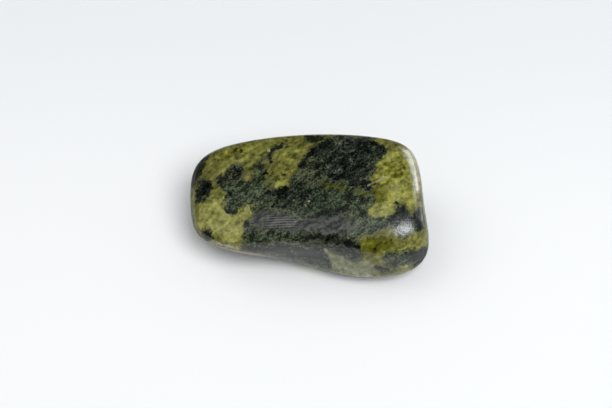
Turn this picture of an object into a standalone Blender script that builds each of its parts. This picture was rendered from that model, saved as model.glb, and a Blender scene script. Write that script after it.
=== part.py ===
"""A tumbled serpentine stone: one polished pebble, broad and gently domed on top.

The right end is thick and blunt, the left end is lower and thinner, the front face is nearly
upright with a shallow hollow in it, and the underside is worn to a small flat spot.

The stone is a broken block whose faces and edges are worn round. Each face is a slice of a very
large ball, and the surface is the soft maximum of all the faces, so that every edge is rounded.
Lengths in the tables are millimetres; the finished mesh is in metres with +Z up, +X towards the
blunt end and -Y towards the front.
"""

import math
from dataclasses import dataclass

import bmesh
import bpy
import numpy as np

OBJECT_NAME = "serpentine_stone"
COLLECTION_NAME = "Tumbled serpentine stone"
METRES_PER_MM = 0.001

# Heart of the stone, which every surface point is measured outwards from
HEART_MM = np.array([0.0, 0.0, 6.6])

# Half lengths of the box whose even grid is carried onto the stone
GRID_BOX_MM = np.array([17.0, 9.0, 6.3])
GRID_CUTS = 21

# How far the wear rounds one face into the next
EDGE_WEAR_MM = 0.8

# Height above the lowest point at which the underside is worn flat
REST_WEAR_MM = 0.16

FARTHEST_MM = 26.0
HALVINGS = 30


@dataclass(frozen=True)
class Face:
    """One worn face of the block.

    Args:
        name: which side of the stone it is.
        at: a point on the face, in millimetres.
        azimuth: where it looks in plan, in degrees: 0 right, 90 back, 180 left, 270 front.
        elevation: how far it looks up from level, in degrees.
        dome: radius of its gentle swell, in millimetres.
    """

    name: str
    at: tuple[float, float, float]
    azimuth: float
    elevation: float
    dome: float

    def outward(self):
        """Returns the unit vector that the middle of the face looks along."""
        turn = math.radians(self.azimuth)
        lift = math.radians(self.elevation)
        level = math.cos(lift)
        return np.array([level * math.cos(turn), level * math.sin(turn), math.sin(lift)])

    def height(self, points):
        """Returns how far each point lies outside the face, in millimetres."""
        centre = np.array(self.at) - self.outward() * self.dome
        return np.linalg.norm(points - centre, axis=-1) - self.dome


@dataclass(frozen=True)
class Hollow:
    """A shallow bell-shaped hollow.

    Args:
        name: where it is.
        at: its middle, in millimetres.
        spread: its reach along X, Y and Z, in millimetres.
        depth: how deep it is in the middle, in millimetres.
    """

    name: str
    at: tuple[float, float, float]
    spread: tuple[float, float, float]
    depth: float

    def depth_at(self, points):
        """Returns how deep the hollow is at each point, in millimetres."""
        away = (points - np.array(self.at)) / np.array(self.spread)
        return self.depth * np.exp(-(away**2).sum(axis=-1))


FACES = (
    Face("top", (2.98, 0.0, 13.77), 188.3, 86.6, 100),
    Face("underside", (2.0, 0.0, -0.4), 0, -90, 90),
    Face("underside, left", (-12.04, 0.0, -0.01), 187, -80, 90),
    Face("right end", (17.5, 0.0, 6.5), 8, 0, 150),
    Face("right shoulder", (16.63, 1.0, 12.02), 3.4, 41.5, 60),
    Face("right foot", (17.0, 0.0, 2.0), 12, -45, 90),
    Face("left end", (-17.96, 0.51, 6.8), 183.7, 1.2, 90),
    Face("front, left half", (-3.0, -9.34, 7.98), 265.2, 15, 200),
    Face("front bevel", (-4.06, -5.76, 10.45), 250.1, 69.3, 60),
    Face("front foot, left", (-8.21, -8.07, 2.57), 245.7, -39.8, 60),
    Face("front, right half", (8.08, -12.33, 4.91), 276.4, -7, 60),
    Face("front bevel, right", (11.05, -5.53, 11.57), 291.1, 68.9, 60),
    Face("front slope, right", (11.21, -9.32, 8.46), 291.9, 39.9, 40),
    Face("back", (1.0, 8.85, 7.0), 88.5, -5, 150),
    Face("back, left part", (-12.5, 9.9, 7.0), 110, 0, 60),
    Face("back left corner", (-16.8, 7.4, 7.0), 140, 0, 60),
    Face("back right corner", (16.4, 9.1, 7.0), 52, 10, 60),
    Face("front right corner", (16.62, -9.34, 4.98), 312.2, -3.8, 60),
    Face("front left corner", (-16.92, -7.11, 6.02), 226.3, -10.8, 60),
)

HOLLOWS = (
    Hollow("front", (-1.94, -7.69, 4.36), (8.53, 7.3, 3.55), 1.73),
    Hollow("right end", (17.5, -1.5, 8.0), (4.0, 4.0, 5.0), 0.35),
)


@dataclass(frozen=True)
class Polish:
    """Colour and finish of the stone.

    Args:
        colour: the overall olive green, as linear red, green and blue.
        roughness: of the tumbled polish.
        metallic: none, as it is a stone.
    """

    colour: tuple[float, float, float] = (0.105, 0.115, 0.032)
    roughness: float = 0.2
    metallic: float = 0.0


def clear_scene():
    """Removes every object that the scene starts with."""
    for obj in list(bpy.data.objects):
        bpy.data.objects.remove(obj, do_unlink=True)


def outside(points):
    """Returns how far each point is outside the stone: a soft maximum of the faces, hollows cut in.

    Args:
        points: an array of points, in millimetres.
    """
    heights = np.stack([face.height(points) for face in FACES], axis=-1) / EDGE_WEAR_MM
    largest = heights.max(axis=-1)
    total = np.exp(heights - largest[..., None]).sum(axis=-1)
    far = EDGE_WEAR_MM * (largest + np.log(total))
    for hollow in HOLLOWS:
        far = far + hollow.depth_at(points)
    return far


def carried_to_surface(points):
    """Returns each point moved along its ray from the heart until it lies on the stone.

    Args:
        points: an array of points on the grid box, in millimetres from the heart.
    """
    rays = points / np.linalg.norm(points, axis=1, keepdims=True)
    near = np.zeros(len(rays))
    far = np.full(len(rays), FARTHEST_MM)
    for _ in range(HALVINGS):
        middle = (near + far) / 2
        within = outside(HEART_MM + rays * middle[:, None]) < 0
        near = np.where(within, middle, near)
        far = np.where(within, far, middle)
    return HEART_MM + rays * near[:, None]


def grid_box():
    """Returns an evenly divided box of the stone's own proportions."""
    box = bmesh.new()
    bmesh.ops.create_cube(box, size=2.0)
    bmesh.ops.subdivide_edges(box, edges=box.edges[:], cuts=GRID_CUTS, use_grid_fill=True)
    bmesh.ops.scale(box, vec=tuple(GRID_BOX_MM), verts=box.verts[:])
    return box


def wear_flat(stone, height):
    """Cuts the underside level at a height and closes the cut with one flat face.

    Args:
        stone: the bmesh of the stone.
        height: where it is cut, in millimetres.
    """
    bmesh.ops.bisect_plane(
        stone,
        geom=stone.verts[:] + stone.edges[:] + stone.faces[:],
        dist=0.0001,
        plane_co=(0.0, 0.0, height),
        plane_no=(0.0, 0.0, 1.0),
        clear_inner=True,
    )
    rim = [edge for edge in stone.edges if edge.is_boundary]
    bmesh.ops.contextual_create(stone, geom=rim)


def settle(stone):
    """Moves the stone so that the middle of its footprint box is the origin, in metres."""
    points = np.array([vert.co for vert in stone.verts])
    low = points.min(axis=0)
    high = points.max(axis=0)
    middle = (low + high) / 2
    bmesh.ops.translate(stone, vec=(-middle[0], -middle[1], -low[2]), verts=stone.verts[:])
    bmesh.ops.scale(stone, vec=(METRES_PER_MM,) * 3, verts=stone.verts[:])


def shape_stone():
    """Returns the finished bmesh of the stone."""
    stone = grid_box()
    carried = carried_to_surface(np.array([vert.co for vert in stone.verts]))
    for vert, place in zip(stone.verts, carried):
        vert.co = place
    wear_flat(stone, carried[:, 2].min() + REST_WEAR_MM)
    settle(stone)
    bmesh.ops.recalc_face_normals(stone, faces=stone.faces[:])
    return stone


def polished_stone(polish):
    """Returns the material of the stone.

    Args:
        polish: its colour and finish.
    """
    material = bpy.data.materials.new("polished serpentine")
    material.use_nodes = True
    material.diffuse_color = (*polish.colour, 1.0)
    shader = material.node_tree.nodes["Principled BSDF"]
    shader.inputs["Base Color"].default_value = (*polish.colour, 1.0)
    shader.inputs["Roughness"].default_value = polish.roughness
    shader.inputs["Metallic"].default_value = polish.metallic
    return material


def main():
    clear_scene()
    collection = bpy.data.collections.new(COLLECTION_NAME)
    bpy.context.scene.collection.children.link(collection)
    stone = shape_stone()
    mesh = bpy.data.meshes.new(OBJECT_NAME)
    stone.to_mesh(mesh)
    stone.free()
    mesh.materials.append(polished_stone(Polish()))
    mesh.shade_smooth()
    collection.objects.link(bpy.data.objects.new(OBJECT_NAME, mesh))


if __name__ == "__main__":
    main()
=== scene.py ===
"""Tumbled serpentine stone: a polished green pebble on a pale floor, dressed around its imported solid."""

import logging
import math
from collections.abc import Sequence
from dataclasses import dataclass
from enum import Enum

import bmesh
import bpy
import numpy as np
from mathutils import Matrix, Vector, noise


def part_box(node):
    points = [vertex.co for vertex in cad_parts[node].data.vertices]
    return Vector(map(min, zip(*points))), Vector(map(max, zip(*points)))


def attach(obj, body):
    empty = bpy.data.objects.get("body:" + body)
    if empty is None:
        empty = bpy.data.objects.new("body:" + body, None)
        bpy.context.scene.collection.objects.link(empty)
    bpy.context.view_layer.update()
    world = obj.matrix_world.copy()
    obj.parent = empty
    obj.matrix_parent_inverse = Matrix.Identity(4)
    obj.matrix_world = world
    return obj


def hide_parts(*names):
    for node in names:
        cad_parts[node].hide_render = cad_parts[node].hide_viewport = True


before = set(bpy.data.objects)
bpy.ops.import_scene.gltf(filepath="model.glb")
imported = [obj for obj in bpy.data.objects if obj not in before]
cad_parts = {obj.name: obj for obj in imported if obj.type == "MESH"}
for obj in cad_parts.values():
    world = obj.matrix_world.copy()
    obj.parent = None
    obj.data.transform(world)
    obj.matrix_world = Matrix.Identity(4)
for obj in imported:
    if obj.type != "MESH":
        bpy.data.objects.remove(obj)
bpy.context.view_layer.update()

LOG = logging.getLogger("serpentine stone")

NODE_NAME = "serpentine_stone"
PIECE_NAME = "serpentine_stone_polished"
MM = 0.001

# Where the settled stone lies, against the millimetres that its faces are given in.
SETTLED_MM = np.array([0.095, 0.660, -0.033])

Points = np.ndarray
Field = np.ndarray
Spot = tuple[float, float]
Triple = tuple[float, float, float]
Colour = Triple
Socket = bpy.types.NodeSocket


def smooth_step(low: float, high: float, value: Field) -> Field:
    """Returns 0 below low, 1 above high, and an even S between them."""
    share = np.clip((value - low) / (high - low), 0.0, 1.0)
    return share * share * (3.0 - 2.0 * share)


def direction(azimuth: float, elevation: float) -> Points:
    """Works out a direction from its angles.

    Args:
        azimuth: where it points in plan, in degrees: 0 right, 90 back, 180 left, 270 front.
        elevation: how far it points up from level, in degrees.

    Returns:
        The unit vector that points there.
    """
    turn = math.radians(azimuth)
    lift = math.radians(elevation)
    level = math.cos(lift)
    return np.array([level * math.cos(turn), level * math.sin(turn), math.sin(lift)])


@dataclass(frozen=True)
class Face:
    """One worn face of the stone.

    Args:
        name: which side of the stone it is.
        at: a point on the face, in millimetres.
        azimuth: where its middle looks in plan, in degrees.
        elevation: how far it looks up from level, in degrees.
        dome: radius of its gentle swell, in millimetres.
    """

    name: str
    at: Triple
    azimuth: float
    elevation: float
    dome: float

    def height(self, points: Points) -> Field:
        """Returns how far each point lies outside the face, in millimetres."""
        centre = np.array(self.at) - direction(self.azimuth, self.elevation) * self.dome
        return np.linalg.norm(points - centre, axis=-1) - self.dome


@dataclass(frozen=True)
class Hollow:
    """A shallow bell-shaped hollow.

    Args:
        name: where it is.
        at: its middle, in millimetres.
        spread: its reach along X, Y and Z, in millimetres.
        depth: how deep it is in the middle, in millimetres.
    """

    name: str
    at: Triple
    spread: Triple
    depth: float

    def depth_at(self, points: Points) -> Field:
        """Returns how deep the hollow is at each point, in millimetres."""
        away = (points - np.array(self.at)) / np.array(self.spread)
        return self.depth * np.exp(-(away**2).sum(axis=-1))


FACES = (
    Face("top", (2.98, 0.0, 13.77), 188.3, 86.6, 100),
    Face("underside", (2.0, 0.0, -0.4), 0, -90, 90),
    Face("underside, left", (-12.04, 0.0, -0.01), 187, -80, 90),
    Face("right end", (17.5, 0.0, 6.5), 8, 0, 150),
    Face("right shoulder", (16.63, 1.0, 12.02), 3.4, 41.5, 60),
    Face("right foot", (17.0, 0.0, 2.0), 12, -45, 90),
    Face("left end", (-17.96, 0.51, 6.8), 183.7, 1.2, 90),
    Face("front, left half", (-3.0, -9.34, 7.98), 265.2, 15, 200),
    Face("front bevel", (-4.06, -5.76, 10.45), 250.1, 69.3, 60),
    Face("front foot, left", (-8.21, -8.07, 2.57), 245.7, -39.8, 60),
    Face("front, right half", (8.08, -12.33, 4.91), 276.4, -7, 60),
    Face("front bevel, right", (11.05, -5.53, 11.57), 291.1, 68.9, 60),
    Face("front slope, right", (11.21, -9.32, 8.46), 291.9, 39.9, 40),
    Face("back", (1.0, 8.85, 7.0), 88.5, -5, 150),
    Face("back, left part", (-12.5, 9.9, 7.0), 110, 0, 60),
    Face("back left corner", (-16.8, 7.4, 7.0), 140, 0, 60),
    Face("back right corner", (16.4, 9.1, 7.0), 52, 10, 60),
    Face("front right corner", (16.62, -9.34, 4.98), 312.2, -3.8, 60),
    Face("front left corner", (-16.92, -7.11, 6.02), 226.3, -10.8, 60),
)

HOLLOWS = (
    Hollow("front", (-1.94, -7.69, 4.36), (8.53, 7.3, 3.55), 1.73),
    Hollow("right end", (17.5, -1.5, 8.0), (4.0, 4.0, 5.0), 0.35),
)


class Layer(Enum):
    """What the stone is made of, from the bottom coat of the drawing to the top one; the pale rims are
    partly painted reflection, and one pale grain is a painted glint.
    """

    BRIGHT = "bright yellow-green"
    STRAW = "straw"
    HOST = "green-grey host rock"
    MOSS = "moss"
    SAGE = "sage"
    FEATHER = "grey-green wash"
    PLUM = "plum grey"
    FOREST = "forest green"
    DARK = "near black"
    WISP = "grey-green wisp"
    # Partly painted reflection: the pale rim marks paint the polish's reflections at the right rim and the
    # left foot.
    RIM_AND_SHEEN = "pale rim"
    BROWN_LINE = "brown skin at the foot"
    PALE = "pale vein"
    SCRATCHED = "polishing scratches"
    WORN = "worn polish"

    def attribute(self) -> str:
        """Returns the name of the mesh attribute that holds how much of it there is."""
        return self.name.lower()

    def wanders(self) -> bool:
        """Returns whether the edges of its marks wander, as the body of the rock's do."""
        return self not in (Layer.RIM_AND_SHEEN, Layer.BROWN_LINE, Layer.PALE, Layer.SCRATCHED, Layer.WORN)


def distance_to_line(spots: Points, start: Points, end: Points) -> Field:
    """Measures how far spots are from a line.

    Args:
        spots: the spots, one in a row.
        start: one end of the straight line.
        end: its other end.

    Returns:
        Each spot's distance from the nearest point of the line.
    """
    along = end - start
    share = np.clip((spots - start) @ along / (along @ along), 0.0, 1.0)
    return np.linalg.norm(spots - start - share[:, None] * along, axis=1)


@dataclass(frozen=True)
class Patch:
    """An area of one layer, drawn in millimetres right of and above the middle of the stone's face.

    Args:
        name: which patch it is.
        amount: how much of the patch the layer covers.
        outline: its corners, in order.
        edge: half the width of its soft edge.
    """

    name: str
    amount: float
    outline: tuple[Spot, ...]
    edge: float = 0.8

    def cover(self, spots: Points) -> Field:
        """Works out the patch at some spots of the face.

        Args:
            spots: the spots, one in a row.

        Returns:
            How much of the layer lies at each of them, from 0 to 1.
        """
        corners = np.array(self.outline)
        nearest = np.full(len(spots), np.inf)
        inside = np.zeros(len(spots), dtype=bool)
        for start, end in zip(corners, np.roll(corners, -1, axis=0)):
            nearest = np.minimum(nearest, distance_to_line(spots, start, end))
            rises = (start[1] > spots[:, 1]) != (end[1] > spots[:, 1])
            run = (end[0] - start[0]) * (spots[:, 1] - start[1]) / (end[1] - start[1] or 1.0)
            inside ^= rises & (spots[:, 0] < start[0] + run)
        depth = np.where(inside, nearest, -nearest)
        return self.amount * smooth_step(-self.edge, self.edge, depth)


@dataclass(frozen=True)
class Streak:
    """A thin mark of one layer along a line, drawn like a patch.

    Args:
        name: which mark it is.
        amount: how much of the mark the layer covers.
        reach: half its width, in millimetres.
        line: the points that it runs through.
        edge: half the width of its soft edge.
    """

    name: str
    amount: float
    reach: float
    line: tuple[Spot, ...]
    edge: float = 0.32

    def cover(self, spots: Points) -> Field:
        """Works out the mark at some spots of the face.

        Args:
            spots: the spots, one in a row.

        Returns:
            How much of the layer lies at each of them, from 0 to 1.
        """
        corners = np.array(self.line)
        nearest = np.full(len(spots), np.inf)
        for start, end in zip(corners[:-1], corners[1:]):
            nearest = np.minimum(nearest, distance_to_line(spots, start, end))
        return self.amount * smooth_step(-self.edge, self.edge, self.reach - nearest)


BRIGHT_MARKS = (
    Patch("bright ground, right", 0.9, (
        (11.7, 7.2), (13.2, 7.8), (14.7, 7.5), (15.6, 6.45), (15.9, 4.2), (16.35, 1.2), (16.2, -0.3),
        (15.45, -0.9), (14.55, -0.15), (13.8, 0.75), (12.75, 0.15), (11.7, -0.6), (10.35, -1.05),
        (9.15, -1.8), (9, -0.9), (10.35, 0), (12, 0.75), (12.6, 1.8), (11.7, 2.7), (10.65, 2.7),
        (9.75, 3.15), (10.5, 4.05), (11.4, 4.95), (11.1, 6),
    ), 1),
    Patch("bright ground, upper left", 0.5, (
        (-13.8, 7.95), (-11.4, 8.7), (-8.4, 9.3), (-6.6, 9.6), (-6.6, 8.55), (-8.4, 6.9), (-11.1, 6.9),
        (-13.2, 5.7),
    ), 1),
    Patch("bright ground, middle", 0.38, (
        (-5.7, 7.8), (-2.7, 8.4), (-0.6, 8.1), (-0.9, 6.6), (-1.35, 5.1), (-1.35, 3.75), (-3, 2.7),
        (-4.5, 2.1), (-5.1, 3.3), (-4.8, 5.1), (-5.25, 6.6),
    ), 1),
    Patch("bright ground, lower right", 0.3, (
        (13.2, -5.85), (14.4, -5.25), (15.3, -4.35), (16.2, -3.9), (17.25, -4.35), (18.15, -5.1),
        (18, -6.15), (17.1, -6.6), (15.3, -6.6), (13.65, -6.75), (12.6, -6.9),
    ), 1),
    Patch("bright ground under the tongue", 0.6, (
        (10.2, -1.2), (12.9, -0.75), (13.5, -1.35), (12.6, -2.25), (10.8, -2.4),
    ), 1),
    Patch("bright ground by the front edge", 0.75, (
        (-11.7, -1.95), (-10.2, -1.8), (-9.6, -2.85), (-9.75, -5.1), (-11.55, -4.8),
    ), 1),
)

STRAW_MARKS = (
    Patch("straw ground, lower left", 0.8, (
        (-16.5, -0.3), (-15, 0.6), (-13.5, 1.2), (-12.3, 1.05), (-12, -0.3), (-11.1, -1.35), (-9.9, -0.6),
        (-8.7, -0.15), (-7.8, -0.15), (-7.8, -1.05), (-8.7, -1.8), (-9.45, -2.7), (-9.6, -5.85),
        (-11.1, -6), (-12.6, -5.55), (-13.8, -4.95), (-14.7, -3.75), (-16.05, -3.9), (-16.5, -2.55),
    ), 1),
    Patch("straw above the left blotch", 0.8, (
        (-12.6, 5.1), (-12, 6.15), (-10.95, 6.75), (-9.3, 6.9), (-9.45, 6.3), (-10.95, 6), (-11.7, 5.25),
        (-12.6, 4.5),
    ), 1),
    Patch("straw tongue, right", 1, (
        (9.15, -1.5), (10.05, -0.3), (11.25, 0), (12.45, 0.3), (13.05, -0.15), (12.75, -0.9), (11.4, -1.5),
        (10.05, -1.95),
    ), 1),
    Patch("straw cloud, right", 0.95, (
        (12.6, 2.1), (12.9, 3.15), (13.8, 3.6), (14.55, 3), (14.4, 1.95), (13.5, 1.2), (12.75, 1.05),
    ), 1),
    Patch("straw cloud, upper right", 0.9, (
        (11.7, 6.45), (11.85, 7.35), (12.6, 7.65), (13.2, 7.2), (12.75, 6.45), (12.15, 5.85),
    ), 1),
    Patch("straw by the dark wedge", 0.8, (
        (13.8, 1.2), (14.7, 1.8), (15.45, 1.2), (15.15, 0), (14.25, 0.15),
    ), 1),
    Patch("straw bow, lower right", 0.9, (
        (15.15, -6.45), (15.3, -5.1), (16.05, -4.05), (16.8, -4.35), (17.25, -5.25), (16.8, -6.3),
    ), 1),
    Streak("pale rim line, lower right", 0.8, 0.16, (
        (11.4, -7.35), (12.75, -6.9), (14.1, -6.6), (15.45, -6.45),
    )),
    Patch("straw stripe, lower right", 0.8, (
        (12.6, -9.75), (13.35, -9), (14.7, -9.15), (16.05, -8.85), (15.45, -9.45), (13.95, -9.9),
    ), 1),
    Streak("thin line, lower right", 0.8, 0.12, ((13.5, -9.45), (14.7, -9.15), (15.9, -8.85))),
    Streak("pale edge by the front", 1, 0.36, ((-9.75, -3.6), (-9.75, -5.4))),
    Streak("pale dab, middle", 0.9, 0.27, ((-4.5, 2.7), (-4.05, 3.15))),
    Streak("straw dabs, upper middle", 0.45, 0.37, ((-7.8, 7.05), (-6.6, 7.35))),
    Streak("straw dab in the moss", 0.5, 0.33, ((9.75, -6.9), (10.5, -6.3))),
    Streak("straw below the right ground", 0.7, 0.48, ((10.65, -1.95), (12, -1.95))),
    Streak("straw by the dark patch", 0.8, 0.45, ((13.5, 1.05), (14.25, 0.6))),
)

HOST_MARKS = (
    Patch("great mass, upper", 1, (
        (0, 7.65), (1.05, 8.85), (3, 9.75), (5.1, 10.35), (8.1, 10.2), (10.2, 9.75), (12.3, 8.4),
        (11.55, 6.9), (10.65, 5.85), (10.5, 4.8), (9.6, 3.75), (9.9, 2.55), (11.1, 1.35), (10.5, 0),
        (9, -0.75), (9.6, -1.95), (11.4, -1.8), (12.9, -2.7), (12.15, -4.05), (8.7, -4.65), (7.8, -5.1),
        (8.1, -7.2), (6.6, -7.65), (3.9, -7.05), (-0.9, -6.3), (-6.6, -6.9), (-9.6, -6.6), (-9.6, -2.7),
        (-7.8, -1.5), (-8.4, -0.3), (-6.6, 1.2), (-7.5, 2.7), (-5.7, 2.4), (-3.75, 2.1), (-1.5, 3.6),
        (0.3, 4.95), (-1.05, 5.4), (-0.75, 6.9),
    )),
    Patch("front", 1, (
        (-9.6, -5.85), (-5.4, -5.4), (-0.9, -5.85), (2.7, -6.6), (3.6, -7.8), (4.05, -9.6), (3, -10.05),
        (-0.9, -9), (-5.4, -7.95), (-9.3, -7.35),
    )),
    Patch("left blotches", 0.95, (
        (-13.35, 3), (-12.75, 4.2), (-11.4, 5.7), (-9.75, 5.85), (-9, 4.8), (-9.3, 3.45), (-8.4, 3.6),
        (-7.2, 2.7), (-6.6, 1.2), (-7.5, 0), (-9, -0.15), (-10.2, -0.6), (-10.65, -1.35), (-11.4, -1.5),
        (-12.3, -0.6), (-12.3, 0.9), (-12, 1.8), (-12.9, 2.1),
    )),
    Patch("front hollow, right", 0.9, (
        (3.3, -6.45), (5.85, -6.3), (8.1, -6.75), (9, -7.95), (8.4, -8.85), (6.9, -9), (5.4, -8.1),
        (4.05, -7.35),
    )),
    Patch("lower right band", 0.9, (
        (11.4, -7.95), (12, -7.35), (13.5, -7.27), (15.3, -6.9), (16.8, -6.9), (18.15, -6.15),
        (18.45, -7.8), (17.7, -8.7), (16.2, -9.3), (14.7, -9.3), (13.5, -9.6), (12.3, -9.3),
    )),
    Patch("by the streak", 0.55, (
        (-6.3, 8.1), (-5.4, 8.7), (-3.3, 9), (-2.4, 9.3), (-3.3, 8.25), (-4.5, 7.65), (-5.1, 6.3),
        (-5.7, 5.4), (-5.1, 4.2), (-6, 3.9), (-7.2, 4.2), (-8.1, 5.1), (-8.4, 6), (-7.2, 6.6), (-6, 6.6),
    )),
    Patch("left patch", 0.9, (
        (-16.05, 3.6), (-15.15, 3.9), (-14.25, 3.45), (-14.1, 2.1), (-14.55, 1.05), (-15.45, 0.3),
        (-16.5, 0), (-16.8, 1.05), (-16.5, 2.4),
    )),
    Patch("round the glint", 0.9, (
        (12, -2.1), (13.2, -1.05), (13.95, -0.3), (14.85, -0.75), (16.35, -1.65), (16.95, 0), (17.7, -0.6),
        (17.85, -3.6), (17.25, -4.5), (16.2, -4.35), (15.3, -5.1), (14.1, -4.95), (12.9, -3.9),
    )),
    Patch("middle left", 0.6, (
        (-6.9, 4.2), (-5.7, 4.5), (-4.65, 3.9), (-4.5, 2.4), (-5.4, 1.8), (-6.6, 2.4),
    )),
    Patch("upper left, by the marks", 0.6, (
        (-8.1, 6), (-7.2, 6.9), (-6, 7.65), (-5.25, 7.5), (-5.25, 6.3), (-5.7, 5.1), (-6.6, 4.65),
        (-7.8, 5.1),
    )),
    Patch("toe, lower right", 0.7, (
        (11.55, -8.4), (13.2, -8.7), (14.4, -9.45), (13.8, -10.5), (12, -10.8), (11.4, -9.6),
    )),
    Patch("front foot", 0.95, (
        (-9.75, -6.45), (-6.6, -7.2), (-2.4, -8.1), (1.35, -9), (2.85, -9.6), (3.3, -10.65),
        (1.35, -10.65), (-3.15, -9.45), (-6.6, -8.7), (-9.75, -7.8),
    )),
    Patch("left blotch, left side", 0.8, ((-13.8, 4.05), (-12.6, 4.95), (-12.3, 2.25), (-13.5, 2.25))),
    Patch("edge of the upper mass, left", 0.9, (
        (-2.85, 3.45), (-1.65, 4.8), (-0.6, 6.15), (0.45, 5.7), (-0.45, 4.05), (-1.8, 2.85),
    )),
)

MOSS_MARKS = (
    Patch("moss patch, lower right", 1, (
        (9, -5.25), (9.6, -4.8), (10.5, -4.5), (11.7, -3.75), (12.45, -3.75), (12.75, -4.8), (13.05, -5.7),
        (12.6, -6.45), (11.55, -6.9), (10.2, -7.2), (9, -7.5), (8.25, -7.8), (8.4, -6.6),
    )),
    Patch("moss under the straw tongue", 0.4, (
        (11.4, -1.65), (12.6, -1.2), (13.8, -1.35), (13.2, -2.1), (12.15, -2.4),
    )),
    Patch("moss, right of the mass", 0.7, (
        (9.75, 2.4), (11.1, 2.55), (12, 2.1), (11.7, 0.75), (10.8, 0.15), (10.05, 1.05),
    )),
    Streak("moss dabs, right", 0.7, 0.36, ((12.15, 6), (12.9, 5.7))),
    Streak("moss dab, far right", 0.7, 0.3, ((14.4, 6.15), (14.7, 5.4))),
    Streak("moss stripe, right", 0.6, 0.36, ((11.7, 4.95), (13.35, 5.25), (14.4, 5.25))),
    Streak("moss under the vein", 0.65, 0.39, ((10.5, 2.1), (11.4, 2.7), (12.6, 3.9), (13.95, 4.35))),
    Patch("moss below the patch", 0.75, (
        (8.1, -7.5), (9.6, -7.2), (10.5, -7.8), (11.4, -8.1), (11.1, -8.85), (9.9, -9), (9.3, -8.4),
    )),
    Patch("moss in the upper mass", 0.4, ((0.3, 6.9), (1.5, 7.05), (1.8, 6.15), (0.9, 5.1), (0.15, 5.4))),
    Patch("moss band in the mass", 0.7, (
        (1.8, 3.3), (3.3, 3.6), (4.5, 3), (6, 2.7), (6.9, 2.1), (5.7, 1.95), (4.2, 2.1), (2.4, 2.4),
    )),
    Patch("moss right of the band", 0.7, (
        (5.85, 2.7), (7.5, 2.1), (9, 2.1), (9.9, 1.5), (9, 0.75), (7.5, 1.05), (6.3, 1.5),
    )),
    Patch("moss, middle left", 0.3, ((-6.6, 3.9), (-5.4, 4.2), (-4.5, 3.3), (-5.1, 2.55), (-6.3, 3))),
    Streak("moss dabs, upper left", 0.5, 0.33, ((-11.7, 7.8), (-10.5, 8.1), (-8.7, 8.7))),
    Patch("darker ground below the left spot", 0.4, (
        (-16.2, 0.15), (-14.55, 0.9), (-12.9, 0.75), (-13.05, -0.6), (-14.7, -1.8), (-16.2, -1.65),
    ), 1),
    Patch("darker ground, upper left", 0.5, (
        (-13.65, 7.65), (-11.25, 8.25), (-10.5, 7.35), (-11.55, 6.15), (-13.5, 6.3),
    ), 1),
    Streak("moss by the right rim", 0.35, 0.37, ((15.75, 2.4), (15.75, 1.05))),
    Streak("moss below the right ground", 0.35, 0.45, ((9, -0.75), (9.9, -1.35))),
)

SAGE_MARKS = (
    Patch("sage plate, front", 1, (
        (2.85, -6.9), (3.6, -7.2), (4.35, -7.95), (5.4, -7.8), (6, -8.7), (7.05, -9), (8.25, -8.7),
        (9.45, -8.7), (10.2, -9.3), (10.5, -10.5), (9.3, -11.1), (7.5, -10.95), (5.85, -10.5),
        (4.2, -9.75), (3.75, -8.7), (3.3, -7.8),
    )),
    Streak("sage tongue, front", 0.9, 0.24, ((3, -6.75), (3.75, -7.8), (4.5, -8.7))),
)

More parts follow.
